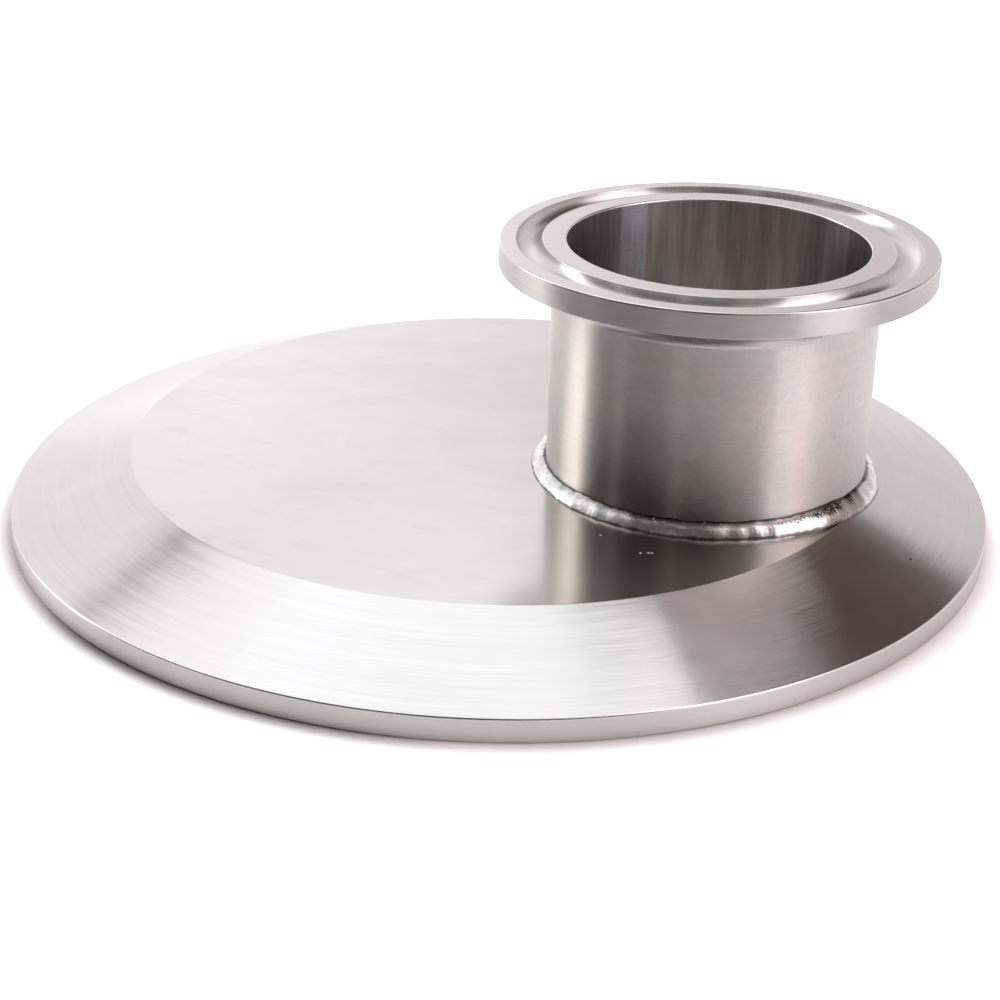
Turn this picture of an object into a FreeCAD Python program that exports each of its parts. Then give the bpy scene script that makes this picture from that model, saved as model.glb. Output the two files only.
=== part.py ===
"""Offset sanitary clamp reducer: a bevelled cap plate for a 4 in clamp joint, with a 1.5 in clamp ferrule
set on top of an off-centre hole and fillet-welded all round.

Millimetres, +Z up. The origin is the centre of the cap plate's underside, which is the face that meets the
vessel's gasket. The ferrule stands on the plate's top face, off centre along +X. Its foot rests on the flat,
and its weld runs out over the bevel on that side.
"""

import FreeCAD, Part
import os
import Sketcher

SHEET = "Sizes"
SIZES = [
    # the cap plate
    ("plate_diameter", 119.0),
    ("plate_thickness", 8.0),
    ("plate_rim_height", 2.75),
    ("plate_groove_circle", 110.3),
    # the ferrule
    ("ferrule_offset", 25.7),
    ("ferrule_length", 28.1),
    ("bore_diameter", 34.8),
    ("tube_wall", 1.65),
    ("flange_diameter", 50.5),
    ("flange_rim_height", 2.85),
    ("flange_groove_circle", 43.5),
    ("neck_radius", 1.6),
    # what both clamp faces share
    ("bevel_angle", 20.0),
    ("groove_width", 3.0),
    ("groove_depth", 1.35),
    ("edge_break", 0.15),
    # the fillet weld
    ("weld_leg_out", 1.75),
    ("weld_leg_up", 1.4),
    ("weld_crown", 0.3),
    ("weld_lean_angle", 1.0),
    ("weld_shift", 0.15),
    ("weld_run_count", 4.0),
    ("tie_in_angle", -33.0),
    ("tie_in_height", 0.2),
    ("tie_in_reach", 5.0),
]

PAST = 1.0  # how far a cutting profile runs past the face that it starts from
AXIS_LENGTH = 10.0  # of the construction lines that profiles turn about

SLOPE = "tan(Sizes.bevel_angle * 1 deg)"
PLATE_RADIUS = "Sizes.plate_diameter / 2"
BEVEL_DROP = "(Sizes.plate_thickness - Sizes.plate_rim_height)"
FLAT_RADIUS = f"({PLATE_RADIUS} - {BEVEL_DROP} / {SLOPE})"
BORE_RADIUS = "Sizes.bore_diameter / 2"
TUBE_RADIUS = "(Sizes.bore_diameter / 2 + Sizes.tube_wall)"
FLANGE_RADIUS = "Sizes.flange_diameter / 2"


def arc_radius(chord, rise):
    """The radius of an arc that stands rise above the middle of its chord."""
    return f"((({chord}) / 2)^2 + ({rise})^2) / (2 * ({rise}))"


GROOVE_RADIUS = arc_radius("Sizes.groove_width", "Sizes.groove_depth")

# The neck is the fillet between the tube's wall and the flange's back taper. Along both of them it starts
# NECK_TANGENT from the corner, and it stands NECK_RISE out of its own chord.
NECK_HALF_TURN = "((90 - Sizes.bevel_angle) / 2 * 1 deg)"
NECK_TANGENT = f"(Sizes.neck_radius * tan{NECK_HALF_TURN})"
NECK_RISE = f"Sizes.neck_radius * (1 - cos{NECK_HALF_TURN})"
TAPER_DROP = f"({FLANGE_RADIUS} - {TUBE_RADIUS}) * {SLOPE}"
NECK_CORNER = f"(Sizes.ferrule_length - Sizes.flange_rim_height - {TAPER_DROP})"

# The weld's section is a circle that runs through the ends of its two legs and on inside the other metal.
WELD_CHORD = "sqrt(Sizes.weld_leg_out^2 + Sizes.weld_leg_up^2)"
WELD_RADIUS = arc_radius(WELD_CHORD, "Sizes.weld_crown")
WELD_SINK = f"({WELD_RADIUS} - Sizes.weld_crown) / {WELD_CHORD}"
WELD_CENTRE_OUT = f"({TUBE_RADIUS} + Sizes.weld_leg_out / 2 - Sizes.weld_leg_up * {WELD_SINK})"
WELD_CENTRE_UP = f"(Sizes.weld_leg_up / 2 - Sizes.weld_leg_out * {WELD_SINK})"


def new_sheet(doc):
    """The spreadsheet that holds the driving sizes, one alias a row."""
    sheet = doc.addObject("Spreadsheet::Sheet", SHEET)
    for row, (name, value) in enumerate(SIZES, start=1):
        sheet.set(f"A{row}", name)
        sheet.set(f"B{row}", str(value))
        sheet.setAlias(f"B{row}", name)
    doc.recompute()


def new_body(doc, name):
    """A body whose Label names the piece."""
    body = doc.addObject("PartDesign::Body", name)
    body.Label = name
    return body


def origin_plane(body, role):
    """One of the body's own origin planes. On XZ_Plane x is a radius and y a height."""
    return next(item for item in body.Origin.OriginFeatures if item.Role == role)


def new_on_plane(body, kind, name, plane):
    """A sketch, a datum plane or a primitive that lies on a plane of its own body."""
    item = body.newObject(kind, name)
    item.AttachmentSupport = [(plane, "")]
    item.MapMode = "FlatFace"
    body.Document.recompute()
    return item


def new_sketch(body, name, role="XZ_Plane"):
    """A sketch on one of the body's own origin planes."""
    return new_on_plane(body, "Sketcher::SketchObject", name, origin_plane(body, role))


def worth(sketch, formula):
    """What a formula of the sheet's sizes comes to now."""
    return float(sketch.evalExpression(formula))


def bind(sketch, constraint, formula):
    """Adds a dimension to the sketch and ties it to a formula."""
    index = sketch.addConstraint(constraint)
    sketch.setExpression(f"Constraints[{index}]", formula)


def hold(sketch, edge, end, x_formula, y_formula):
    """Holds one end of an edge at (x, y): on the sketch's axis for the formula 0, by a dimension otherwise."""
    if x_formula == "0":
        sketch.addConstraint(Sketcher.Constraint("PointOnObject", edge, end, -2))
    else:
        bind(sketch, Sketcher.Constraint("DistanceX", -1, 1, edge, end, worth(sketch, x_formula)), x_formula)
    if y_formula == "0":
        sketch.addConstraint(Sketcher.Constraint("PointOnObject", edge, end, -1))
    else:
        bind(sketch, Sketcher.Constraint("DistanceY", -1, 1, edge, end, worth(sketch, y_formula)), y_formula)


def draw_outline(sketch, corners):
    """A closed outline through corners (x, y). A corner (x, y, rise, radius) is left along an arc, which
    stands rise to the left of the straight line to the next corner. All are formulas."""
    points = [FreeCAD.Vector(worth(sketch, c[0]), worth(sketch, c[1]), 0) for c in corners]
    joints = []
    for i, corner in enumerate(corners):
        here = points[i]
        there = points[(i + 1) % len(points)]
        if len(corner) == 2:
            edge = sketch.addGeometry(Part.LineSegment(here, there), False)
            joints.append((edge, 1, 2))
            continue
        along = (there - here).normalize()
        left = FreeCAD.Vector(-along.y, along.x, 0)
        arc = Part.Arc(here, (here + there) / 2 + left * worth(sketch, corner[2]), there)
        edge = sketch.addGeometry(arc, False)
        forward = (sketch.getPoint(edge, 1) - here).Length < (sketch.getPoint(edge, 2) - here).Length
        joints.append((edge, 1, 2) if forward else (edge, 2, 1))
        bind(sketch, Sketcher.Constraint("Radius", edge, worth(sketch, corner[3])), corner[3])
    for i, corner in enumerate(corners):
        edge, start, _ = joints[i]
        before, _, end = joints[i - 1]
        sketch.addConstraint(Sketcher.Constraint("Coincident", before, end, edge, start))
        hold(sketch, edge, start, corner[0], corner[1])


def draw_circle(sketch, x_formula, y_formula, radius_formula):
    """A circle whose centre and radius are formulas."""
    centre = FreeCAD.Vector(worth(sketch, x_formula), worth(sketch, y_formula), 0)
    radius = worth(sketch, radius_formula)
    edge = sketch.addGeometry(Part.Circle(centre, FreeCAD.Vector(0, 0, 1), radius), False)
    hold(sketch, edge, 3, x_formula, y_formula)
    bind(sketch, Sketcher.Constraint("Radius", edge, radius), radius_formula)


def draw_axis(sketch, x_formula):
    """A construction line up from the sketch's x axis, for a profile to turn about."""
    foot = FreeCAD.Vector(worth(sketch, x_formula), 0, 0)
    edge = sketch.addGeometry(Part.LineSegment(foot, foot + FreeCAD.Vector(0, AXIS_LENGTH, 0)), True)
    sketch.addConstraint(Sketcher.Constraint("Vertical", edge))
    sketch.addConstraint(Sketcher.Constraint("DistanceY", edge, 1, edge, 2, AXIS_LENGTH))
    hold(sketch, edge, 1, x_formula, "0")


def turn(body, kind, name, sketch, axis="V_Axis"):
    """Turns a sketch a full circle about its own y axis, or about its first construction line, Axis0."""
    feature = body.newObject(f"PartDesign::{kind}", name)
    feature.Profile = sketch
    feature.ReferenceAxis = (sketch, [axis])
    feature.Angle = 360
    body.Document.recompute()
    return feature


def bore(body, name, x_formula, radius_formula):
    """Takes out a round hole along Z, right through the body."""
    section = new_sketch(body, f"{name}_section", "XY_Plane")
    draw_circle(section, x_formula, "0", radius_formula)
    pocket = body.newObject("PartDesign::Pocket", name)
    pocket.Profile = section
    pocket.Type = "ThroughAll"
    pocket.Midplane = True
    body.Document.recompute()


def seat_on_plate(body):
    """Puts a piece's own origin on the plate's top face, at the middle of the off-centre hole."""
    body.setExpression("Placement.Base.x", "Sizes.ferrule_offset")
    body.setExpression("Placement.Base.z", "Sizes.plate_thickness")


def make_end_cap(doc):
    """The turned cap plate: a flat top, a clamp bevel down to a short rim, and a gasket groove underneath."""
    body = new_body(doc, "end_cap")
    blank = new_sketch(body, "plate_section")
    draw_outline(blank, [
        ("0", "0"),
        (f"{PLATE_RADIUS} - Sizes.edge_break", "0"),
        (PLATE_RADIUS, "Sizes.edge_break"),
        (PLATE_RADIUS, "Sizes.plate_rim_height - Sizes.edge_break"),
        (f"{PLATE_RADIUS} - Sizes.edge_break", f"Sizes.plate_rim_height + Sizes.edge_break * {SLOPE}"),
        (FLAT_RADIUS, "Sizes.plate_thickness"),
        ("0", "Sizes.plate_thickness"),
    ])
    turn(body, "Revolution", "plate_blank", blank)

    groove = new_sketch(body, "gasket_groove_section")
    inner = "(Sizes.plate_groove_circle - Sizes.groove_width) / 2"
    outer = "(Sizes.plate_groove_circle + Sizes.groove_width) / 2"
    draw_outline(groove, [
        (inner, "0", "Sizes.groove_depth", GROOVE_RADIUS),
        (outer, "0"),
        (outer, f"-{PAST}"),
        (inner, f"-{PAST}"),
    ])
    turn(body, "Groove", "gasket_groove", groove)

    bore(body, "off_centre_hole", "Sizes.ferrule_offset", BORE_RADIUS)
    return body


def make_ferrule(doc):
    """The turned ferrule: a short tube that opens through a filleted neck into a clamp flange, with the
    gasket groove in its top face."""
    body = new_body(doc, "ferrule")
    blank = new_sketch(body, "ferrule_section")
    top = "Sizes.ferrule_length"
    rim_foot = "(Sizes.ferrule_length - Sizes.flange_rim_height)"
    across = "cos(Sizes.bevel_angle * 1 deg)"
    upward = "sin(Sizes.bevel_angle * 1 deg)"
    draw_outline(blank, [
        (BORE_RADIUS, "0"),
        (TUBE_RADIUS, "0"),
        (TUBE_RADIUS, f"{NECK_CORNER} - {NECK_TANGENT}", NECK_RISE, "Sizes.neck_radius"),
        (f"{TUBE_RADIUS} + {NECK_TANGENT} * {across}", f"{NECK_CORNER} + {NECK_TANGENT} * {upward}"),
        (f"{FLANGE_RADIUS} - Sizes.edge_break", f"{rim_foot} - Sizes.edge_break * {SLOPE}"),
        (FLANGE_RADIUS, f"{rim_foot} + Sizes.edge_break"),
        (FLANGE_RADIUS, f"{top} - Sizes.edge_break"),
        (f"{FLANGE_RADIUS} - Sizes.edge_break", top),
        (f"{BORE_RADIUS} + Sizes.edge_break", top),
        (BORE_RADIUS, f"{top} - Sizes.edge_break"),
    ])
    turn(body, "Revolution", "ferrule_blank", blank)

    groove = new_sketch(body, "gasket_groove_section")
    inner = "(Sizes.flange_groove_circle - Sizes.groove_width) / 2"
    outer = "(Sizes.flange_groove_circle + Sizes.groove_width) / 2"
    draw_outline(groove, [
        (outer, top, "Sizes.groove_depth", GROOVE_RADIUS),
        (inner, top),
        (inner, f"{top} + {PAST}"),
        (outer, f"{top} + {PAST}"),
    ])
    turn(body, "Groove", "gasket_groove", groove)

    seat_on_plate(body)
    return body


def make_weld_bead(doc):
    """The fillet weld round the foot of the tube. It is turned as a full ring that leans, so that it is heavier
    where the plate falls away, and swells where each of its runs laps over the one before. It is trimmed by
    the tube's wall and by the whole plate, so that its toe follows the flat and then the bevel."""
    body = new_body(doc, "weld_bead")
    lean = new_on_plane(body, "PartDesign::Plane", "lean_plane", origin_plane(body, "XZ_Plane"))
    lean.setExpression("AttachmentOffset.Base.x", "-Sizes.weld_shift")
    lean.setExpression("AttachmentOffset.Rotation.Angle", "Sizes.weld_lean_angle * 1 deg")
    doc.recompute()
    run = new_on_plane(body, "Sketcher::SketchObject", "bead_section", lean)
    draw_circle(run, WELD_CENTRE_OUT, WELD_CENTRE_UP, WELD_RADIUS)
    turn(body, "Revolution", "bead_ring", run)

    heading = new_on_plane(body, "PartDesign::Plane", "tie_in_plane", lean)
    heading.setExpression("AttachmentOffset.Rotation.Axis.y", "1")
    heading.setExpression("AttachmentOffset.Rotation.Axis.z", "0")
    heading.setExpression("AttachmentOffset.Rotation.Angle", "Sizes.tie_in_angle * 1 deg")
    doc.recompute()
    tie_in = new_on_plane(body, "PartDesign::AdditiveEllipsoid", "tie_in", heading)
    tie_in.setExpression("AttachmentOffset.Base.x", WELD_CENTRE_OUT)
    tie_in.setExpression("AttachmentOffset.Base.y", WELD_CENTRE_UP)
    tie_in.setExpression("Radius1", "Sizes.tie_in_reach")
    tie_in.setExpression("Radius2", f"{WELD_RADIUS} + Sizes.tie_in_height")
    tie_in.setExpression("Radius3", f"{WELD_RADIUS} + Sizes.tie_in_height")
    doc.recompute()
    tie_ins = body.newObject("PartDesign::PolarPattern", "tie_ins")
    tie_ins.Originals = [tie_in]
    tie_ins.Axis = (run, ["V_Axis"])
    tie_ins.Angle = 360
    tie_ins.setExpression("Occurrences", "Sizes.weld_run_count")
    body.Tip = tie_ins
    doc.recompute()

    bore(body, "tube_room", "0", TUBE_RADIUS)

    plate = new_sketch(body, "plate_section")
    middle = "-Sizes.ferrule_offset"
    draw_axis(plate, middle)
    draw_outline(plate, [
        (middle, "-Sizes.plate_thickness"),
        (f"{PLATE_RADIUS} - Sizes.ferrule_offset", "-Sizes.plate_thickness"),
        (f"{PLATE_RADIUS} - Sizes.ferrule_offset", f"-{BEVEL_DROP}"),
        (f"{FLAT_RADIUS} - Sizes.ferrule_offset", "0"),
        (middle, "0"),
    ])
    turn(body, "Groove", "plate_room", plate, "Axis0")

    seat_on_plate(body)
    return body


def check(doc, bodies):
    """Stops the build if any object of the document failed, or a piece is not one sound solid."""
    for item in doc.Objects:
        if "Invalid" in item.State or "Error" in item.State:
            raise RuntimeError(f"{item.Label} failed: {item.State}")
    for body in bodies:
        if body.Shape.isNull() or not body.Shape.isValid() or len(body.Shape.Solids) != 1:
            raise RuntimeError(f"{body.Label} is not one sound solid")


def write_pieces(bodies):
    """One STEP file for each piece, named after it."""
    os.makedirs("parts", exist_ok=True)
    for body in bodies:
        body.Shape.exportStep(f"parts/{body.Label}.step")
        print(body.Label, "volume", round(body.Shape.Volume, 2), "box", body.Shape.BoundBox)


def main():
    doc = FreeCAD.newDocument("offset_clamp_reducer")
    new_sheet(doc)
    bodies = [make_end_cap(doc), make_ferrule(doc), make_weld_bead(doc)]
    doc.recompute()
    check(doc, bodies)
    write_pieces(bodies)
    return bodies


main()
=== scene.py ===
"""Looks of the offset clamp reducer: a bevelled steel cap plate, the ferrule welded on top of it and the
bead.

Lengths are in millimetres up to the mesh, which is in metres. +Z is up, the origin is the centre of the
plate's underside, and the ferrule stands towards +X. Every piece is steel, so its look comes from fine
turning marks, from how evenly each face is polished, and from what stands round it. A few colours also
hold painted shade, painted reflections and painted glints, as their comments say.
"""

import bpy
import math
import numpy as np
from mathutils import Matrix


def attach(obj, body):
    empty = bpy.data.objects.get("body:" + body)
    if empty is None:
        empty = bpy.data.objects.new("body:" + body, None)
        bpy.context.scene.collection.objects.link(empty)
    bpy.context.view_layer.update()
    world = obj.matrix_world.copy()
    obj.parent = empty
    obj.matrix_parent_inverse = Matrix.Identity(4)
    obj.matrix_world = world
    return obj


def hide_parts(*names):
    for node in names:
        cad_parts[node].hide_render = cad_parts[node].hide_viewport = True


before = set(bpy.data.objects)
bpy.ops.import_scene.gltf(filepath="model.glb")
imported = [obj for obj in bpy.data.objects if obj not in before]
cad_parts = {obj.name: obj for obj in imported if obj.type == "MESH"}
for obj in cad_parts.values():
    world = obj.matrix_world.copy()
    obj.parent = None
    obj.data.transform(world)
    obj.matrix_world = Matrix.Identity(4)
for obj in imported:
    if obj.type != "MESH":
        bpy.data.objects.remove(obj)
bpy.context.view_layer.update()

MM = 0.001

# the cap plate
PLATE_RADIUS = 59.5
PLATE_TOP = 8.0
PLATE_RIM_TOP = 2.75
SLOPE = math.tan(math.radians(20))
FLAT_RADIUS = PLATE_RADIUS - (PLATE_TOP - PLATE_RIM_TOP) / SLOPE
PLATE_GROOVE = 110.3 / 2

# the ferrule
OFFSET = 25.7
FERRULE_TOP = 36.1
BORE_RADIUS = 17.4
TUBE_RADIUS = 19.05
FLANGE_RADIUS = 25.25
FLANGE_RIM_FOOT = FERRULE_TOP - 2.85
FLANGE_GROOVE = 43.5 / 2
NECK_RADIUS = 1.6

# both gasket grooves
GROOVE_WIDTH = 3.0
GROOVE_DEPTH = 1.35
LIP_EDGE = 0.08

# a rounded edge takes this share of a side at most, and keeps the face flat by a point so far past its end
MOST_OF_A_SIDE = 0.45
PAST_THE_EDGE = 0.12


def ease(value, low, high):
    """0 below low and 1 above high, with a smooth step t*t*(3 - 2t) between them."""
    t = np.clip((value - low) / (high - low), 0.0, 1.0)
    return t * t * (3.0 - 2.0 * t)


def reach(x, y, turn):
    """How far a spot or direction (x, y) lies towards a heading in radians."""
    return x * math.cos(turn) + y * math.sin(turn)


def grid_piece(name, points, materials, rows, uv=None):
    """A closed mesh from a grid of points (section point, angle, xyz), which joins up both ways. rows gives
    the material's number for each strip between one section point and the next. uv is a grid of the same
    size plus one both ways, so that a map has no seam."""
    count, turns = points.shape[:2]
    mesh = bpy.data.meshes.new(name)
    here, there = np.arange(count)[:, None], np.roll(np.arange(count), -1)[:, None]
    left, right = np.arange(turns), np.roll(np.arange(turns), -1)
    corners = np.stack([
        here * turns + left,
        here * turns + right,
        there * turns + right,
        there * turns + left,
    ], axis=-1).reshape(-1, 4)
    mesh.vertices.add(count * turns)
    mesh.vertices.foreach_set("co", (points * MM).astype(np.float32).ravel())
    mesh.loops.add(corners.size)
    mesh.loops.foreach_set("vertex_index", corners.astype(np.int32).ravel())
    mesh.polygons.add(len(corners))
    mesh.polygons.foreach_set("loop_start", np.arange(0, corners.size, 4, dtype=np.int32))
    mesh.polygons.foreach_set("material_index", np.repeat(rows, turns).astype(np.int32))
    mesh.polygons.foreach_set("use_smooth", np.ones(len(corners), dtype=bool))
    if uv is not None:
        spread = np.stack([uv[:-1, :-1], uv[:-1, 1:], uv[1:, 1:], uv[1:, :-1]], axis=2)
        layer = mesh.uv_layers.new(name="run")
        layer.data.foreach_set("uv", spread.astype(np.float32).ravel())
    mesh.update(calc_edges=True)
    mesh.validate()
    for material in materials:
        mesh.materials.append(material)
    piece = bpy.data.objects.new(name, mesh)
    bpy.context.scene.collection.objects.link(piece)
    return piece


def arc(centre, radius, start, end, steps):
    """Section points on an arc: centre + radius * (cos, sin) from angle start to angle end, in degrees."""
    turn = np.radians(np.linspace(start, end, steps + 1))
    return np.stack([centre[0] + radius * np.cos(turn), centre[1] + radius * np.sin(turn)], axis=1)


def groove_points(middle, height, depth, steps=14):
    """Section points of a gasket groove, in the order of a section that runs with the metal on its left: an
    arc of a circle through both lips and the deepest point. depth is negative for a groove that is cut
    upwards."""
    half = GROOVE_WIDTH / 2
    radius = (half * half + depth * depth) / (2 * abs(depth))
    centre_height = height - depth + math.copysign(radius, depth)
    swing = math.degrees(math.asin(half / radius))
    down = -90 if depth > 0 else 90
    return arc((middle, centre_height), radius, down + swing, down - swing, steps)


def groove_corners(points, material, centre):
    """A groove's points as corners of a section, with a small edge radius at both lips."""
    lips = (0, len(points) - 1)
    return [(*point, LIP_EDGE if i in lips else 0.0, material, centre) for i, point in enumerate(points)]


def softened(corners, edge, steps=4, longest=3.0):
    """A closed section through corners (across, up, edge radius, material, centre). Each edge radius becomes
    an arc of the edge's material that touches both of its sides, with one more point just past each end,
    which keeps the faces beside it flat. A side that is longer than longest is divided evenly. Returns the
    points, their centres and the material of the strip after each point."""
    spots = np.array([c[:2] for c in corners], dtype=float)
    points, materials = [], []
    for i, (_, _, radius, material, centre) in enumerate(corners):
        here = spots[i]
        back = spots[i - 1] - here
        on = spots[(i + 1) % len(spots)] - here
        if radius == 0:
            run = here[None]
            materials.append(material)
        else:
            back_length, on_length = np.linalg.norm(back), np.linalg.norm(on)
            back, on = back / back_length, on / on_length
            half = math.acos(np.clip(back @ on, -1, 1)) / 2
            away = min(radius / math.tan(half), min(back_length, on_length) * MOST_OF_A_SIDE)
            size = away * math.tan(half)
            middle = here + (back + on) / np.linalg.norm(back + on) * size / math.sin(half)
            first, last = here + back * away - middle, here + on * away - middle
            start = math.atan2(first[1], first[0])
            swing = (math.atan2(last[1], last[0]) - start + math.pi) % (2 * math.pi) - math.pi
            turn = start + swing * np.linspace(0, 1, steps + 1)
            run = middle + size * np.stack([np.cos(turn), np.sin(turn)], axis=1)
            past = min(PAST_THE_EDGE, back_length * 0.5 - away, on_length * 0.5 - away)
            run = np.vstack([here + back * (away + past), run, here + on * (away + past)])
            materials += [corners[i - 1][3]] + [edge] * steps + [material] * 2
        points.append(np.column_stack([run, np.full(len(run), centre)]))
    points = np.vstack(points)
    after = np.roll(points, -1, axis=0)
    parts = np.maximum(np.ceil(np.hypot(*(after - points)[:, :2].T) / longest), 1).astype(int)
    whole = np.repeat(np.arange(len(points)), parts)
    share = (np.arange(parts.sum()) - np.repeat(np.cumsum(parts) - parts, parts)) / parts[whole]
    points = points[whole] + (after - points)[whole] * share[:, None]
    return points[:, :2], points[:, 2], np.array(materials)[whole]


def turned_piece(name, section, materials, turns=480):
    """A lathed piece. At each section point and angle a it is
    (centre + across * cos a, across * sin a, up)."""
    points, centres, rows = section
    angle = np.linspace(0, 2 * np.pi, turns, endpoint=False)
    across, up = points[:, 0:1], points[:, 1:2]
    grid = np.stack([
        centres[:, None] + across * np.cos(angle),
        across * np.sin(angle),
        up + 0 * angle,
    ], axis=-1)
    return grid_piece(name, grid, materials, rows)


class Number:
    """A number socket. A sum, difference, product or quotient of such values adds its Math node."""

    def __init__(self, tree, socket):
        self.tree = tree
        self.socket = socket

    def maths(self, operation, *values, clamp=False):
        """The result of a Math node."""
        node = self.tree.nodes.new("ShaderNodeMath")
        node.operation = operation
        node.use_clamp = clamp
        for socket, value in zip(node.inputs, values):
            if isinstance(value, Number):
                self.tree.links.new(value.socket, socket)
            else:
                socket.default_value = value
        return Number(self.tree, node.outputs[0])

    def __add__(self, other):
        return self.maths("ADD", self, other)

    def __radd__(self, other):
        return self.maths("ADD", other, self)

    def __sub__(self, other):
        return self.maths("SUBTRACT", self, other)

    def __rsub__(self, other):
        return self.maths("SUBTRACT", other, self)

    def __mul__(self, other):
        return self.maths("MULTIPLY", self, other)

    def __rmul__(self, other):
        return self.maths("MULTIPLY", other, self)

    def __truediv__(self, other):
        return self.maths("DIVIDE", self, other)

    def angle_from(self, other):
        return self.maths("ARCTAN2", self, other)

    def arcsine(self):
        return self.maths("ARCSINE", self)

    def arccosine(self):
        return self.maths("ARCCOSINE", self)

    def root(self):
        return self.maths("SQRT", self)

    def limited(self):
        return self.maths("ADD", self, 0.0, clamp=True)

    def larger(self, other):
        return self.maths("MAXIMUM", self, other)

    def size(self):
        return self.maths("ABSOLUTE", self)

    def turned_back(self, degrees):
        """A heading in degrees, less a number of degrees, from -180 to 180."""
        return self.maths("WRAP", self - degrees, 180.0, -180.0)


# the sockets of a Mix node that take and give colours: factor, A and B, and the result
MIX_INPUTS = (0, 6, 7)
MIX_RESULT = 2


class Shades:
    """The nodes of one material or of the world."""

    def __init__(self, tree):
        self.tree = tree
        tree.nodes.clear()

    def add(self, kind, settings=(), **inputs):
        """Adds a node of a kind, with its settings first and then the values or links of its sockets."""
        node = self.tree.nodes.new("ShaderNode" + kind)
        for key, value in dict(settings).items():
            setattr(node, key, value)
        for key, value in inputs.items():
            self.feed(node.inputs[key.replace("_", " ")], value)
        return node

    def feed(self, socket, value):
        """Links a socket, or sets it to a plain value."""
        if isinstance(value, Number):
            value = value.socket
        if isinstance(value, bpy.types.NodeSocket):
            self.tree.links.new(value, socket)
        elif isinstance(value, tuple) and len(value) == 3 and socket.type == "RGBA":
            socket.default_value = (*value, 1.0)
        else:
            socket.default_value = value

    def number(self, node, output=0):
        """A node's output as a number."""
        return Number(self.tree, node.outputs[output])

    def split(self, vector):
        """The three parts of a vector as numbers."""
        node = self.add("SeparateXYZ", Vector=vector)
        return [self.number(node, i) for i in range(3)]

    def joined(self, x, y, z):
        """A vector from its three parts."""
        return self.add("CombineXYZ", X=x, Y=y, Z=z).outputs[0]

    def blend(self, mask, low, high):
        """low where the mask is 0, and high where it is 1, for colours."""
        node = self.add("Mix", {"data_type": "RGBA"})
        for socket, value in zip(MIX_INPUTS, (mask, low, high)):
            self.feed(node.inputs[socket], value)
        return node.outputs[MIX_RESULT]

    def tint(self, colour, amount):
        """A colour times a number."""
        node = self.add("VectorMath", {"operation": "SCALE"})
        self.feed(node.inputs[0], colour)
        self.feed(node.inputs["Scale"], amount)
        return node.outputs[0]

    def smooth(self, **inputs):
        """A smooth step, from the values and links of a Map Range node's sockets."""
        return self.number(self.add("MapRange", {"interpolation_type": "SMOOTHSTEP"}, **inputs))

    def step(self, value, low, high):
        """0 where the value is below low and 1 above high, smooth between."""
        return self.smooth(Value=value, From_Min=low, From_Max=high)

    def band(self, value, low, high, soft):
        """1 between low and high, and 0 outside, each edge soft millimetres or degrees wide."""
        return self.step(value, low - soft, low + soft) * (1 - self.step(value, high - soft, high + soft))

    def within(self, value, half, soft):
        """1 where the value is less than half away from 0 and 0 farther out, with an edge soft wide."""
        edges = {"From_Min": half - soft, "From_Max": half + soft}
        return self.smooth(Value=value.size(), **edges, To_Min=1.0, To_Max=0.0)

    def noise(self, vector, scale, detail=3.0, roughness=0.55):
        """Fractal noise from 0 to 1, about 0.5."""
        inputs = {"Vector": vector, "Scale": scale, "Detail": detail, "Roughness": roughness}
        return self.number(self.add("TexNoise", {"noise_dimensions": "3D"}, **inputs), "Fac")

    def place(self, middle=(0.0, 0.0, 0.0)):
        """The spot on the piece in millimetres, from a middle."""
        spot = self.add("TexCoord").outputs["Object"]
        inputs = {"Location": tuple(-value for value in middle), "Scale": (1 / MM, 1 / MM, 1 / MM)}
        return self.add("Mapping", {"vector_type": "POINT"}, Vector=spot, **inputs).outputs[0]

    def stretched(self, spot, turn, scale):
        """A spot turned by angles in degrees and then scaled, to draw a pattern out in one direction."""
        angles = tuple(math.radians(angle) for angle in turn)
        turned = self.add("Mapping", Vector=spot, Rotation=angles)
        return self.add("Mapping", Vector=turned.outputs[0], Scale=scale).outputs[0]

    def vectors(self, operation, *values):
        """The result of a Vector Math node."""
        node = self.add("VectorMath", {"operation": operation})
        for socket, value in zip(node.inputs, values):
            self.feed(socket, value)
        return node.outputs[0]

    def leaned(self, round_axis, slope):
        """The surface's direction, leaned by a slope across the way that runs round the axis."""
        facing = self.add("TexCoord").outputs["Normal"]
        across = self.vectors("CROSS_PRODUCT", facing, round_axis)
        leaned = self.vectors("NORMALIZE", self.vectors("ADD", facing, self.tint(across, slope)))
        settings = {"vector_type": "NORMAL", "convert_from": "OBJECT", "convert_to": "WORLD"}
        return self.add("VectorTransform", settings, Vector=leaned).outputs[0]


def finish_of(name):
    """A new material with an empty set of nodes."""
    material = bpy.data.materials.new(name)
    material.use_nodes = True
    return material, Shades(material.node_tree)


# a reflection is drawn out across the marks of the lathe, which is a quarter turn from them
ACROSS_THE_MARKS = 0.25

# how fast the turning marks change round the axis and across it, per radian and per millimetre
FINE_MARKS = (5.0, 7.0)
SINGLE_MARKS = (1.5, 2.6)

# how fast the larger patches change, per millimetre, and how much they change the roughness
PATCHES = 0.25
PATCHY_ROUGHNESS = 0.2


def steel(shades, colour, roughness, normal, anisotropic=0.0):
    """Bare metal: the shader and its output."""
    inputs = {"Base_Color": colour, "Metallic": 1.0, "Roughness": roughness, "Anisotropic": anisotropic}
    inputs["Anisotropic_Rotation"] = ACROSS_THE_MARKS
    shader = shades.add("BsdfPrincipled", {"distribution": "MULTI_GGX"}, **inputs, Normal=normal)
    shades.add("OutputMaterial", Surface=shader.outputs[0])


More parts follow.
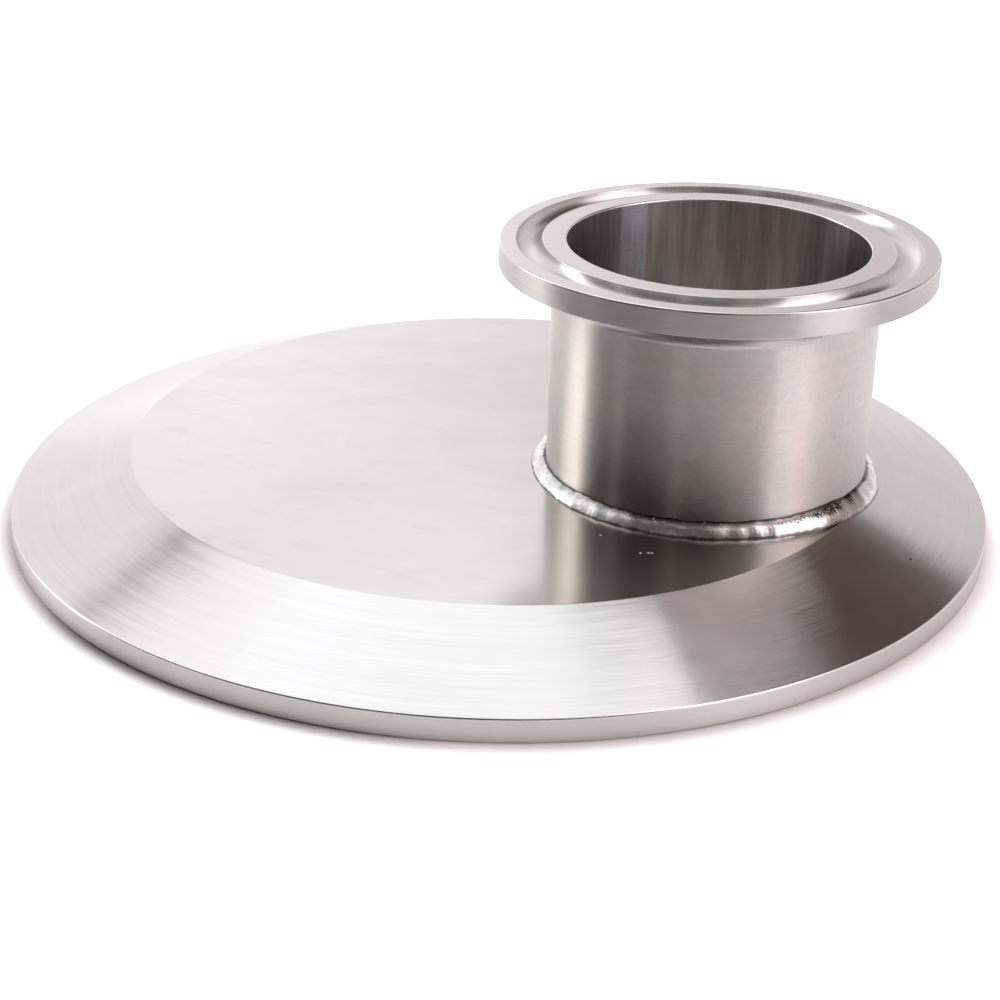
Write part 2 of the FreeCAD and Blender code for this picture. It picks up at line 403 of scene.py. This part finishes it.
def turned_finish(name, colour, middle, roughness, anisotropic, lean, coarse=0.0, mottle=0.05, extra=None):
    """Steel with turning marks round the axis through middle. The marks are noise of the height and the
    distance from the axis, which changes slowly round it: fine ones, and coarse ones that show singly. Each
    leans the surface a little to one side or the other. Larger patches vary the shade by mottle, as wiping
    and handling leave it. extra adds what only this finish has."""
    material, shades = finish_of(name)
    spot = shades.place(middle)
    x, y, height = shades.split(spot)
    distance = (x * x + y * y).root()
    cosine, sine = x / distance, y / distance
    along = distance + height

    def marks(around, across, **kind):
        return shades.noise(shades.joined(cosine * around, sine * around, along * across), 1.0, **kind)

    fine = marks(*FINE_MARKS, detail=1.0)
    single = marks(*SINGLE_MARKS, detail=3.0, roughness=0.75)
    patches = shades.noise(spot, PATCHES)
    shade = 1.0 + (patches - 0.5) * mottle + (single - 0.5) * mottle
    slope = (fine - 0.5) * lean + (single - 0.5) * coarse
    normal = shades.leaned(shades.joined(-1.0 * sine, cosine, 0.0), slope)
    rough = roughness * (1.0 + (patches - 0.5) * PATCHY_ROUGHNESS)
    if extra is not None:
        colour, rough, shade = extra(shades, spot, colour, rough, shade)
    steel(shades, shades.tint(colour, shade), rough, normal, anisotropic)
    return material


# places on the plate in millimetres: nicks by the ferrule on the flat, painted white as glints, and a pit
# on the bevel, painted dark as shade
NICKS = [(18.9, -23.0), (24.2, -26.0), (25.0, -25.7), (25.4, -25.6)]
NICK_SIZE = 0.2
PIT = (52.1, -11.2)
PIT_SIZE = 0.22

# headings round the ferrule in degrees: the bluish patch in the bore, a painted reflection with brushed
# marks, and the brown-grey tint on the tube, partly heat tint and partly a painted dark reflection
BRUSHED_REFLECTION_PATCH = 137
HEAT_TINT_AND_DARK_REFLECTION = 266

# the tube's slanting marks, in degrees from the level
RUBBED = (38, -38)

PLATE_TONE = (0.655, 0.635, 0.62)
FERRULE_TONE = (0.62, 0.60, 0.585)
TUBE_TONE = (0.60, 0.57, 0.55)
# painted shade: the neck and taper under the flange are darker
NECK_SHADE_TONE = (0.54, 0.515, 0.50)
RIM_TONE = (0.59, 0.565, 0.55)
BORE_TONE = (0.545, 0.505, 0.485)
# painted reflection: the paler, bluish patch in the bore
PAINTED_REFLECTION_TONE = (0.55, 0.57, 0.60)
SMEAR_TONE = (0.60, 0.585, 0.55)
WARM_TONE = (0.62, 0.56, 0.51)
# the tube's brown-grey tint: partly heat tint, partly a painted dark reflection
TINT_AND_DARK_REFLECTION_TONE = (0.16, 0.14, 0.125)
# painted glint: the nicks on the flat
NICK_GLINT_TONE = (1.0, 1.0, 1.0)
# painted shade: the pit on the bevel
PIT_SHADE_TONE = (0.08, 0.07, 0.06)


def speck(shades, spot, middle, size):
    """1 on a small round spot of the plate and 0 off it."""
    x, y, _ = shades.split(spot)
    x, y = x - middle[0], y - middle[1]
    return 1 - shades.step((x * x + y * y).root(), size * 0.5, size)


def handled_with_glints(shades, spot, tone, rough, shade):
    """The flat: faint yellowish smears that wiping has drawn out, and a few tiny rough nicks by the ferrule,
    each painted white as a glint."""
    wiped, rubbed = (0, 0, -20), (0, 0, 10)
    broad = shades.noise(shades.stretched(spot, wiped, (0.6, 1.0, 1.0)), 0.055, 5.0, 0.6)
    small = shades.noise(shades.stretched(spot, rubbed, (0.35, 1.0, 1.0)), 0.35, 4.0, 0.65)
    smear = (shades.step(broad, 0.44, 0.62) * 0.7 + shades.step(small, 0.55, 0.72) * 0.5).limited()
    tone = shades.blend(smear, tone, SMEAR_TONE)
    rough = rough * (1.0 + smear * 0.10)
    # tiny rough nicks, each painted white as a glint
    for place in NICKS:
        nick = speck(shades, spot, place, NICK_SIZE)
        tone = shades.blend(nick, tone, NICK_GLINT_TONE)
        rough = rough + nick * 0.6
    return tone, rough, shade


def pit_painted_dark(shades, spot, tone, rough, shade):
    """The bevel: one small pit, painted dark as shade."""
    # the pit's darkness is painted shade
    return shades.blend(speck(shades, spot, PIT, PIT_SIZE), tone, PIT_SHADE_TONE), rough, shade


def drawn_and_reflected(shades, spot, tone, rough, shade):
    """The bore: straight light and dark bands along it, partly the drawn tube's marks and partly painted
    reflections, and one paler, bluish stretch of painted reflection with short brushed marks across, towards
    the left of its back wall."""
    x, y, height = shades.split(spot)
    distance = (x * x + y * y).root()
    round_it = shades.joined(x / distance, y / distance, height * 0.004)
    bands_and_reflections = shades.noise(round_it, 7.0, 4.0, 0.75)
    turn = math.radians(BRUSHED_REFLECTION_PATCH)
    aside = (x * math.sin(turn) - y * math.cos(turn)) / distance
    reflection_patch = shades.band(aside, -0.12, 0.10, 0.012) * shades.step(reach(x, y, turn), 0.0, 1.0)
    brushed = shades.noise(shades.stretched(spot, (0, 0, 0), (0.25, 0.25, 3.0)), 1.0, 3.0, 0.7)
    # painted reflections: bands along the bore, partly its drawn marks, and the paler bluish patch
    shade = shade * (1.0 + (bands_and_reflections - 0.5) * 2.0 + reflection_patch * (0.28 + (brushed - 0.5) * 0.7))
    return shades.blend(reflection_patch, tone, PAINTED_REFLECTION_TONE), rough, shade


def rubbed_and_painted_dark(shades, spot, tone, rough, shade):
    """The tube: crossing sets of fine slanting marks, where it was rubbed by hand after turning. It is
    darker towards the foot, partly dulled by the weld's heat and partly painted shade, and a brown-grey tint
    above the bead on one side is partly heat tint and partly a painted dark reflection."""
    for slant in RUBBED:
        marks = shades.noise(shades.stretched(spot, (0, slant, 0), (0.10, 1.0, 1.0)), 2.4, 3.0, 0.7)
        shade = shade + (marks - 0.5) * 0.18
    x, y, height = shades.split(spot)
    warm = shades.noise(spot, 0.12)
    tone = shades.blend(shades.step(warm, 0.42, 0.62) * 0.6, tone, WARM_TONE)
    # a brown-grey tint above the bead on one side: partly heat tint, partly a painted dark reflection
    facing = reach(x, y, math.radians(HEAT_TINT_AND_DARK_REFLECTION)) / TUBE_RADIUS
    tint = shades.step(facing, 0.80, 0.99) * (1 - shades.step(height + (warm - 0.5) * 12.0, 9.0, 22.0))
    tone = shades.blend(tint * 0.55, tone, TINT_AND_DARK_REFLECTION_TONE)
    # darker towards the foot: partly dulled by the weld's heat, partly painted shade
    return tone, rough, shade * (0.86 + shades.step(height, PLATE_TOP, 24.0) * 0.18)


AXIS = (0, 0, 0)
FERRULE_AXIS = (OFFSET, 0, 0)
plate_flat = turned_finish(
    "plate_flat", PLATE_TONE, AXIS, roughness=0.16, anisotropic=0.37, lean=0.02, coarse=0.015, extra=handled_with_glints)
plate_bevel = turned_finish(
    "plate_bevel", PLATE_TONE, AXIS, roughness=0.21, anisotropic=1.0, lean=0.12, coarse=0.006, mottle=0.12,
    extra=pit_painted_dark)
plate_rim = turned_finish(
    "plate_rim", FERRULE_TONE, AXIS, roughness=0.33, anisotropic=0.89, lean=0.1, coarse=0.1)
tube_wall = turned_finish(
    "tube_wall", TUBE_TONE, FERRULE_AXIS, roughness=0.35, anisotropic=1.0, lean=0.2, coarse=0.05,
    mottle=0.20, extra=rubbed_and_painted_dark)
# the neck and taper: a finer polish, and a darker tone that is painted shade under the flange
neck_polish_and_shade = turned_finish(
    "neck_polish_and_shade", NECK_SHADE_TONE, FERRULE_AXIS, roughness=0.28, anisotropic=0.9, lean=0.1, coarse=0.05)
groove_wall = turned_finish(
    "groove_wall", PLATE_TONE, FERRULE_AXIS, roughness=0.27, anisotropic=1.0, lean=0.1, coarse=0.05)
clamp_face = turned_finish(
    "clamp_face", PLATE_TONE, FERRULE_AXIS, roughness=0.18, anisotropic=0.28, lean=0.05, coarse=0.03)
clamp_rim = turned_finish(
    "clamp_rim", RIM_TONE, FERRULE_AXIS, roughness=0.39, anisotropic=1.0, lean=0.3, coarse=0.1, mottle=0.25)
bore_wall = turned_finish(
    "bore_wall", BORE_TONE, FERRULE_AXIS, roughness=0.29, anisotropic=0.74, lean=0.05, coarse=0.05,
    extra=drawn_and_reflected)
broken_edge = turned_finish("broken_edge", PLATE_TONE, AXIS, roughness=0.2, anisotropic=0.0, lean=0.0)


# stretches of the weld, as shares of its full turn: the frosted, paler run, and the dark one
FROSTED_RUN = (0.53, 0.715)
DARK_STRETCH = (0.90, 0.965)

# the weld's tones, the painted shade of its edges, and the height of its fine unevenness in millimetres
WELD_TONE = (0.64, 0.62, 0.60)
FROSTED_TONE = (0.76, 0.76, 0.75)
DARK_WELD_TONE = (0.26, 0.225, 0.21)
CREVICE_SHADE_TONE = (0.08, 0.065, 0.06)
WELD_BUMP = 0.03


def weld_finish():
    """Bright weld metal. The map's u runs once round the bead from +X, and its v from the tube at 0 to the
    plate at 1. Both edges are painted darker, as shade in the crevice beside the bead. Small crumbs of metal
    sit along the tube's side."""
    material, shades = finish_of("weld_bright")
    u, v, _ = shades.split(shades.add("UVMap", {"uv_map": "run"}).outputs[0])
    spot = shades.place((OFFSET, 0, 0))
    ragged = (shades.noise(spot, 1.1, detail=4.0) - 0.5) * 0.25
    # painted shade along both edges of the bead, in the crevice beside it
    edges = (1 - shades.step(v + ragged, 0.08, 0.20)).larger(shades.step(v + ragged, 0.86, 0.97))
    patches = shades.noise(spot, 0.8, 4.0, 0.7)
    grain = shades.noise(spot, 2.6, 5.0, 0.6)
    frosted = shades.band(u, *FROSTED_RUN, 0.02)
    crumbs = shades.step(shades.noise(spot, 1.9, 2.0), 0.60, 0.68) * (1 - shades.step(v, 0.25, 0.55))
    metal = shades.blend(frosted, WELD_TONE, FROSTED_TONE)
    metal = shades.blend(shades.band(u, *DARK_STRETCH, 0.006) * 0.85, metal, DARK_WELD_TONE)
    colour = shades.blend(edges * 0.88, metal, CREVICE_SHADE_TONE)
    height = grain + frosted * grain + crumbs * 3.0
    bump = shades.add("Bump", Strength=1.0, Distance=WELD_BUMP * MM, Height=height)
    shade = 1.0 + (patches - 0.5) * (0.6 + frosted * 0.9)
    rough = 0.12 + patches * 0.12 + frosted * 0.22
    steel(shades, shades.tint(colour, shade), rough, bump.outputs[0])
    return material


weld_bright = weld_finish()


def end_cap():
    """The cap plate. Its rings are centred on the hole at the hole and on the plate at the flat's edge."""
    flat, bevel, rim, hole, edge = range(5)
    corners = [
        (BORE_RADIUS, PLATE_TOP, 0.05, hole, OFFSET),
        (BORE_RADIUS, 0.0, 0.15, flat, OFFSET),
    ]
    corners += groove_corners(groove_points(PLATE_GROOVE, 0.0, -GROOVE_DEPTH), flat, 0.0)
    corners += [
        (PLATE_RADIUS, 0.0, 0.18, rim, 0.0),
        (PLATE_RADIUS, PLATE_RIM_TOP, 0.22, bevel, 0.0),
        (FLAT_RADIUS, PLATE_TOP, 0.3, flat, 0.0),
    ]
    finishes = [plate_flat, plate_bevel, plate_rim, bore_wall, broken_edge]
    return turned_piece("cap_plate", softened(corners, edge), finishes)


def neck_corners(foot, material, steps=8):
    """The hollow arc between tube and back taper, as corners. It touches both, so it turns through 90
    degrees less the taper's slope."""
    turn = math.pi / 2 - math.atan(SLOPE)
    centre = (TUBE_RADIUS + NECK_RADIUS, foot - NECK_RADIUS * math.tan(turn / 2))
    points = arc(centre, NECK_RADIUS, 180, 180 - math.degrees(turn), steps)
    return [(*point, 0.0, material, OFFSET) for point in points]


# the groove's own marks reach so far over its inner lip
OVER_THE_LIP = 0.3


def ferrule():
    """The ferrule: tube, neck, back taper, rim, clamp face with its groove, and bore. The neck and the
    taper are polished more finely than the tube, and painted darker, as shade under the flange."""
    wall, face, rim, inside, edge, neck, groove = range(7)
    taper_foot = FLANGE_RIM_FOOT - (FLANGE_RADIUS - TUBE_RADIUS) * SLOPE
    corners = [
        (BORE_RADIUS, PLATE_TOP, 0.05, wall, OFFSET),
        (TUBE_RADIUS, PLATE_TOP, 0.05, wall, OFFSET),
        *neck_corners(taper_foot, neck),
        (FLANGE_RADIUS, FLANGE_RIM_FOOT, 0.08, rim, OFFSET),
        (FLANGE_RADIUS, FERRULE_TOP, 0.22, face, OFFSET),
    ]
    corners += groove_corners(groove_points(FLANGE_GROOVE, FERRULE_TOP, GROOVE_DEPTH), groove, OFFSET)
    corners.append((FLANGE_GROOVE - GROOVE_WIDTH / 2 - OVER_THE_LIP, FERRULE_TOP, 0.0, face, OFFSET))
    corners.append((BORE_RADIUS, FERRULE_TOP, 0.2, inside, OFFSET))
    finishes = [tube_wall, clamp_face, clamp_rim, bore_wall, broken_edge, neck_polish_and_shade, groove_wall]
    return turned_piece("ferrule_turned", softened(corners, edge, steps=6), finishes)


# the weld: its legs along the plate and up the tube, what the second gains towards the plate's rim, and the
# crown of its section
WELD_REACH = 1.74
WELD_HEIGHT = 1.40
WELD_LEAN = 0.31
WELD_CROWN = 0.3

# where one run laps over the one before: headings in degrees, half width in radians, and what each leg gains
TIE_INS = (-33, 57, 147, -123)
TIE_IN_WIDTH = 0.17
TIE_IN_HEIGHT = 0.2
TIE_IN_REACH = 0.17

# the cross ripples: pitch, how far they bend back at the edges, and half their height, which grows where the
# bead is dark
RIPPLE_PITCH = 0.5
RIPPLE_BEND = 0.9
RIPPLE_RISE = 0.0025
DEEPER_RISE = 0.005
DEEPER_AT = -14


def waves(angle, parts):
    """A sum of amount * sin(n * angle + phase) over parts (n, amount, phase), which closes after a full
    turn."""
    return sum(amount * np.sin(n * angle + phase) for n, amount, phase in parts)


def weld_bead(turns=1500, steps=26):
    """The fillet bead. At angle a its section is the line from the tube at height h(a) to the plate at width
    w(a), plus a crown 4 * c * s * (1 - s) square to that line. h leans, and swells where each run laps over
    the one before. The plate's end follows the flat and then the bevel. Fine cross ripples follow the angle
    and bend back towards both edges."""
    angle = np.linspace(0, 2 * np.pi, turns + 1)[None, :]
    s = np.linspace(-0.06, 1.06, steps)[:, None]

    def lap(heading):
        away = np.angle(np.exp(1j * (angle - math.radians(heading))))
        return np.exp(-((away / TIE_IN_WIDTH) ** 2))

    swell = sum(lap(heading) for heading in TIE_INS)
    height = WELD_HEIGHT + WELD_LEAN * np.cos(angle) + TIE_IN_HEIGHT * swell
    height = height + waves(angle, [(23, 0.03, 0.4), (41, 0.02, 2.1), (67, 0.015, 4.0)])
    width = WELD_REACH + TIE_IN_REACH * swell
    width = width + waves(angle, [(19, 0.03, 1.0), (37, 0.022, 0.2), (61, 0.015, 3.3)])
    toe = TUBE_RADIUS + width
    from_plate = np.hypot(OFFSET + toe * np.cos(angle), toe * np.sin(angle))
    # how far the plate has fallen away under the bead's outer edge
    fall = np.maximum(from_plate - FLAT_RADIUS, 0.0) * SLOPE
    across, drop = toe - TUBE_RADIUS, height + fall
    length = np.hypot(across, drop)
    crown = WELD_CROWN + waves(angle, [(13, 0.03, 0.9), (29, 0.03, 2.7), (53, 0.02, 1.3)]) + 0.05 * swell
    lag = RIPPLE_BEND * (s - 0.5) ** 2
    uneven = waves(angle, [(7, 0.9, 0.3), (17, 0.7, 2.0), (31, 0.5, 4.4)])
    ripples = np.round(TUBE_RADIUS * 2 * np.pi / RIPPLE_PITCH)
    phase = ripples * angle + 2 * np.pi * lag / RIPPLE_PITCH + uneven
    strength = RIPPLE_RISE + DEEPER_RISE * ease(np.cos(angle - math.radians(DEEPER_AT)), 0.93, 0.99)
    rise = 4 * crown * s * (1 - s) + strength * np.sin(phase) * ease(s, 0, 0.2) * ease(1 - s, 0, 0.2)
    radius = TUBE_RADIUS + across * s + rise * drop / length
    up = height - drop * s + rise * across / length
    # two more points, inside the tube's wall, close the section
    hidden = np.array([[-0.9], [0.9]])
    radius = np.vstack([radius, TUBE_RADIUS - 0.3 + 0 * hidden + 0 * angle])
    up = np.vstack([up, hidden + 0 * angle])
    grid = np.stack([OFFSET + radius * np.cos(angle), radius * np.sin(angle), PLATE_TOP + up], axis=-1)
    across_map = np.vstack([s, [[1.1], [1.2], [1.3]]])
    uv = np.stack([angle / (2 * np.pi) + 0 * across_map, across_map + 0 * angle], axis=-1)
    return grid_piece("weld_run", grid[:, :-1], [weld_bright], np.zeros(len(grid)), uv)


PIECES = [
    (end_cap(), "end_cap", "plate_steel"),
    (ferrule(), "ferrule", "ferrule_steel"),
    (weld_bead(), "weld_bead", "weld_metal"),
]
for piece, node, slot in PIECES:
    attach(piece, "root")
    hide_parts(node)


# the camera, as fitted to the photograph: heading and dip in radians, distances in millimetres
HEADING = 0.292726
DIP = 0.429224
ROLL = 0.0209281
DISTANCE = 257.5745
ASIDE = 0.382757
ABOVE = -1.748976
FOCAL_PIXELS = 2055.507
CENTRE_PIXELS = (501.7897, 511.4135)
IMAGE = 1000.0


def camera():
    """Looks along the fitted heading, with the small shift that the photograph's framing needs."""
    back = np.array([
        math.sin(HEADING) * math.cos(DIP),
        -math.cos(HEADING) * math.cos(DIP),
        math.sin(DIP),
    ])
    level = np.array([math.cos(HEADING), math.sin(HEADING), 0.0])
    upright = np.cross(level, -back)
    right = math.cos(ROLL) * level + math.sin(ROLL) * upright
    up = math.cos(ROLL) * upright - math.sin(ROLL) * level
    place = ASIDE * level + ABOVE * upright + DISTANCE * back
    data = bpy.data.cameras.new("camera")
    data.sensor_width = 36.0
    data.lens = FOCAL_PIXELS / IMAGE * data.sensor_width
    data.shift_x = (IMAGE / 2 - CENTRE_PIXELS[0]) / IMAGE
    data.shift_y = (CENTRE_PIXELS[1] - IMAGE / 2) / IMAGE
    data.clip_start = 0.01
    data.clip_end = 100.0
    eye = bpy.data.objects.new("camera", data)
    matrix = np.eye(4)
    matrix[:3, 0], matrix[:3, 1], matrix[:3, 2], matrix[:3, 3] = right, up, back, place * MM
    eye.matrix_world = Matrix(matrix)
    bpy.context.scene.collection.objects.link(eye)
    bpy.context.scene.camera = eye


# the floor's shadow: how far round a spot counts, and the heading from the plate's centre where it is
# heaviest
SHADOW_REACH = 2.8
HEAVIEST = 256
SHADOW_TONE = (0.85, 0.77, 0.77)
HEAVY_SHADOW_TONE = (0.05, 0.035, 0.03)

# the floor's part that the metal sees as dim: its heading in degrees to the left of the camera's, how far
# from the plate's centre it starts and is full, and its tone
DIM_SIDE = 135
DIM_FROM = 100.0
DIM_TO = 125.0
DIM_TONE = (0.08, 0.075, 0.07)

# the floor as it lights the object, and how white it looks in the metal and, above that, to the camera
FLOOR_TONE = (0.8, 0.8, 0.8)
WHITE = 1.4
WHITER = 0.2
FLOOR_HALF = 8.0


def floor():
    """A plain pale floor. Seen directly or in the metal it is white, and keeps the object's shadow: a dark
    line under the rim, which is widest and darkest at one heading, to the left of the camera. In the metal
    it grows dim on the camera's left, farther out than the picture shows, like the room on that side."""
    material, shades = finish_of("pale_floor")
    path = shades.add("LightPath")
    seen_here = shades.number(path, "Is Camera Ray")
    mirrored = shades.number(path, "Is Glossy Ray") + shades.number(path, "Is Transmission Ray")
    seen = (seen_here + mirrored).limited()
    around = shades.add("AmbientOcclusion", {"samples": 2}, Distance=SHADOW_REACH * MM)
    open_air = shades.number(around, "AO")
    x, y, _ = shades.split(shades.place())
    out = reach(x, y, math.radians(HEAVIEST))
    heavy = shades.step(out, 0.86 * PLATE_RADIUS, 1.0 * PLATE_RADIUS)
    # a soft dark shadow where it is heaviest, and a thin pale one elsewhere
    near = ((open_air - 0.5) * 2.0).limited()
    slow = near * near
    quick = shades.step(open_air, 0.42, 0.86)
    crevice = shades.blend(heavy, SHADOW_TONE, HEAVY_SHADOW_TONE)
    white = shades.tint((1.0, 1.0, 1.0), WHITE + seen_here * WHITER)
    white = shades.blend(quick + (slow - quick) * heavy, crevice, white)
    off_side = reach(x, y, math.pi / 2 + HEADING + math.radians(DIM_SIDE))
    dim = shades.step(off_side, DIM_FROM, DIM_TO)
    white = shades.blend(dim * (1 - seen_here), white, DIM_TONE)
    shader = shades.add("BsdfDiffuse", Color=shades.blend(seen, FLOOR_TONE, white))
    shades.add("OutputMaterial", Surface=shader.outputs[0])
    mesh = bpy.data.meshes.new("floor")
    corners = [(x * FLOOR_HALF, y * FLOOR_HALF, 0) for x, y in ((-1, -1), (1, -1), (1, 1), (-1, 1))]
    mesh.from_pydata(corners, [], [(0, 1, 2, 3)])
    mesh.materials.append(material)
    ground = bpy.data.objects.new("floor", mesh)
    bpy.context.scene.collection.objects.link(ground)


# Soft dark or bright zones of the room, each over the ones before. Each is a stretch of headings (degrees to
# the left of the camera's heading) and of heights above the horizon: centre, half width, soft edge, low,
# high, soft edge, colour. A last entry keeps only what lies within a circle about a heading on the horizon:
# heading, radius, soft edge.
ROOM = (1.6, 1.6, 1.65)
ZONES = [
    # a brighter strip high up ahead, and a grey stretch of ceiling behind to the right
    (4, 53, 1.6, 56, 68, 3.8, (1.73, 1.88, 1.93)),
    (-134, 34, 10, 53, 95, 1.3, (0.48, 0.50, 0.45)),
    # a bright panel on either side
    (70, 13, 1.1, -20, 35, 1, (3.0, 3.0, 3.0)),
    (-102, 20, 10, -20, 74, 2.4, (2.85, 2.5, 2.65)),
    # the wall ahead and to the right: grey below and dark above, with a paler opening
    (-56, 58, 12, -20, 26, 2.2, (0.84, 0.79, 0.80)),
    (-45, 43, 0.2, 26, 80, 2.5, (0.09, 0.06, 0.05), (-68, 66.7, 0.5)),
    (-24, 18, 2, 49, 62, 1, (0.56, 0.55, 0.60), (-64.5, 71.5, 1.6)),
    # the dark side, from the left round to behind the camera, and brownish past it
    (137.5, 55.5, 2.5, 1, 91, 0.8, (0.14, 0.13, 0.125)),
    (-157, 16, 2, 1, 96, 0.8, (0.41, 0.365, 0.33)),
    (-177, 6, 2, 1, 72, 4, (0.05, 0.045, 0.04)),
    (135.5, 56.5, 3, 1, 46, 4, (0.10, 0.094, 0.09)),
    (-157, 16, 1, 1, 46, 4, (0.20, 0.165, 0.15)),
    # two paler strips in the dark side
    (109, 3.2, 1.8, 1, 46, 3, (0.5, 0.485, 0.485)),
    (154, 4.5, 2.5, 1, 46, 3, (0.33, 0.31, 0.295)),
    # a dark arch ahead to the left, and grey wall inside it
    (35, 26, 24, 26, 60, 19, (0.03, 0.03, 0.03), (23, 43.6, 3.7)),
    (37, 17.5, 6, -20, 60, 5, (1.1, 1.1, 1.1), (48, 38.5, 1)),
]


def room():
    """The light all round: a white studio with a few soft zones."""
    world = bpy.data.worlds.new("room")
    world.use_nodes = True
    bpy.context.scene.world = world
    shades = Shades(world.node_tree)
    towards = shades.add("TexCoord").outputs["Generated"]
    x, y, z = shades.split(towards)
    height = z.arcsine() * (180 / math.pi)
    ahead = math.pi / 2 + HEADING
    along, aside = reach(x, y, ahead), reach(x, y, ahead + math.pi / 2)
    heading = aside.angle_from(along) * (180 / math.pi)
    colour = ROOM
    for centre, half, soft, low, high, edge, shade, *circle in ZONES:
        mask = shades.within(heading.turned_back(centre), half, soft)
        mask = mask * shades.within(height - (low + high) / 2, (high - low) / 2, edge)
        for way, radius, rim in circle:
            away = reach(x, y, ahead + math.radians(way)).arccosine() * (180 / math.pi)
            mask = mask * shades.within(away, radius, rim)
        colour = shades.blend(mask, colour, shade)
    background = shades.add("Background", Color=colour, Strength=1.0)
    shades.add("OutputWorld", Surface=background.outputs[0])


camera()
floor()
room()

bpy.context.scene.view_settings.view_transform = "Standard"
